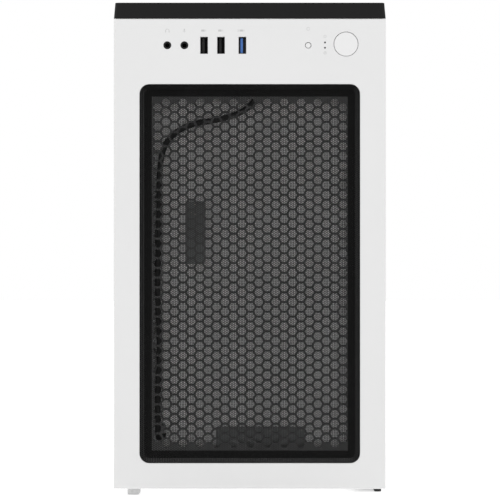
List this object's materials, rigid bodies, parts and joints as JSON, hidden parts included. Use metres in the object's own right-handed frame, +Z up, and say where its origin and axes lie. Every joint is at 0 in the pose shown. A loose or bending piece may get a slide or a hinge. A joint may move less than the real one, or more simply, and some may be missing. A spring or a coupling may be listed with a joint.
{
  "type": "desktop computer tower",
  "caption": "Compact computer tower with a white front around a black mesh, top-edge sockets and buttons, a glass side and the computer inside it.",
  "frame": {"origin": "on the floor, under the middle of the object", "axes": "+Z up; the front with its sockets and mesh faces -Y; +X is on the right when facing the front, and the glass side faces -X"},
  "size_m": [0.206, 0.362, 0.376],
  "materials": {
    "white_plastic": "smooth satin",
    "black_mesh": "satin powder coat",
    "black_plastic": "fine texture",
    "filter_net": "fine nylon net",
    "clear_plastic": "clear",
    "white_steel": "satin powder coat",
    "grey_plastic": "smooth",
    "rubber": "matte",
    "tinted_glass": "polished",
    "pcb": "solder mask",
    "plated_steel": "satin plated",
    "blue_plastic": "smooth",
    "bare_aluminium": "brushed",
    "white_fan": "smooth",
    "black_paint": "textured",
    "green_board": "solder mask",
    "cable_black": "sleeved",
    "cable_red": "smooth",
    "screw_steel": "black zinc",
    "brass_steel": "plain",
    "drive_metal": "cast"
  },
  "bodies": {
    "chassis": {"front_net": "filter_net", "front_boards": "pcb", "usb_shells": "plated_steel", "usb_tongues": "black_plastic", "usb_fast_tongue": "blue_plastic", "audio_jacks": "black_plastic", "switches": "black_plastic", "front_plate": "white_steel", "base_plate": "white_steel", "top_plate": "white_steel", "rear_panel": "white_steel", "mb_tray": "white_steel", "psu_shroud": "white_steel", "top_cover": "black_plastic", "feet_left": "grey_plastic", "feet_right": "rubber", "rear_fan_frame": "white_fan", "cooler_fan_frame": "white_fan", "cooler_heatsink": "bare_aluminium", "motherboard": "pcb", "standoffs": "brass_steel", "cpu_socket": "plated_steel", "board_slots": "black_plastic", "ram_modules": "green_board", "board_heatsinks": "bare_aluminium", "rear_ports": "plated_steel", "io_shield": "plated_steel", "board_headers": "black_plastic", "ssd_module": "pcb", "expansion_covers": "white_steel", "case_screws": "screw_steel", "psu_case": "black_paint", "psu_board": "green_board", "psu_inlet": "black_plastic", "drive_cage": "white_steel", "drive_tray": "black_plastic", "hard_drive": "drive_metal", "front_io_leads": "cable_black", "atx_cable": "cable_black", "sata_cable": "cable_red", "lead_plugs": "black_plastic"},
    "front_panel": {"bezel": "white_plastic", "mesh_panel": "black_mesh", "honeycomb_grille": "black_plastic", "light_pipes": "clear_plastic"},
    "power_button": {"power_button": "white_plastic"},
    "reset_button": {"reset_button": "white_plastic"},
    "left_panel": {"left_glass": "tinted_glass", "left_rails": "black_paint", "left_thumbscrews": "screw_steel"},
    "right_side": {"right_panel": "white_steel", "right_thumbscrews": "screw_steel"},
    "top_filter": {"top_filter": "black_plastic"},
    "psu_filter": {"psu_filter": "black_plastic"},
    "rear_fan_rotor": {"rear_fan_rotor": "white_fan"},
    "cooler_rotor": {"cooler_rotor": "white_fan"},
    "psu_rotor": {"psu_rotor": "black_plastic"},
    "psu_switch": {"psu_switch": "black_plastic"},
    "ram_latch_1": {"ram_latch_1": "grey_plastic"},
    "ram_latch_2": {"ram_latch_2": "grey_plastic"}
  },
  "joints": [
    {"name": "front_panel_pull", "type": "slide", "parent": "chassis", "child": "front_panel", "axis": [0, -1, 0], "range_m": [0, 0.06]},
    {"name": "power_press", "type": "slide", "parent": "front_panel", "child": "power_button", "axis": [0, 1, 0], "range_m": [0, 0.001], "stiffness_N_per_m": 900, "springref_m": -0.0005},
    {"name": "reset_press", "type": "slide", "parent": "front_panel", "child": "reset_button", "axis": [0, 1, 0], "range_m": [0, 0.001], "stiffness_N_per_m": 700, "springref_m": -0.0005},
    {"name": "left_panel_slide", "type": "slide", "parent": "chassis", "child": "left_panel", "axis": [0, 1, 0], "range_m": [0, 0.022]},
    {"name": "right_panel_slide", "type": "slide", "parent": "chassis", "child": "right_side", "axis": [0, 1, 0], "range_m": [0, 0.022]},
    {"name": "top_filter_lift", "type": "slide", "parent": "chassis", "child": "top_filter", "axis": [0, 0, 1], "range_m": [0, 0.04]},
    {"name": "psu_filter_slide", "type": "slide", "parent": "chassis", "child": "psu_filter", "axis": [0, 1, 0], "range_m": [0, 0.125]},
    {"name": "rear_fan_spin", "type": "hinge", "parent": "chassis", "child": "rear_fan_rotor", "pos_m": [-0.0324, 0.158, 0.29], "axis": [0, 1, 0], "continuous": true},
    {"name": "cooler_fan_spin", "type": "hinge", "parent": "chassis", "child": "cooler_rotor", "pos_m": [0.02, 0.093, 0.285], "axis": [1, 0, 0], "continuous": true},
    {"name": "psu_fan_spin", "type": "hinge", "parent": "chassis", "child": "psu_rotor", "pos_m": [0, 0.101, 0.026], "axis": [0, 0, 1], "continuous": true},
    {"name": "psu_switch_rock", "type": "hinge", "parent": "chassis", "child": "psu_switch", "pos_m": [0.046, 0.1674, 0.066], "axis": [1, 0, 0], "range_deg": [0, 16]},
    {"name": "ram_latch_1_open", "type": "hinge", "parent": "chassis", "child": "ram_latch_1", "pos_m": [0.0649, 0.03, 0.3458], "axis": [0, 1, 0], "range_deg": [0, 28]},
    {"name": "ram_latch_2_open", "type": "hinge", "parent": "chassis", "child": "ram_latch_2", "pos_m": [0.0649, 0.019, 0.3458], "axis": [0, 1, 0], "range_deg": [0, 28]}
  ]
}
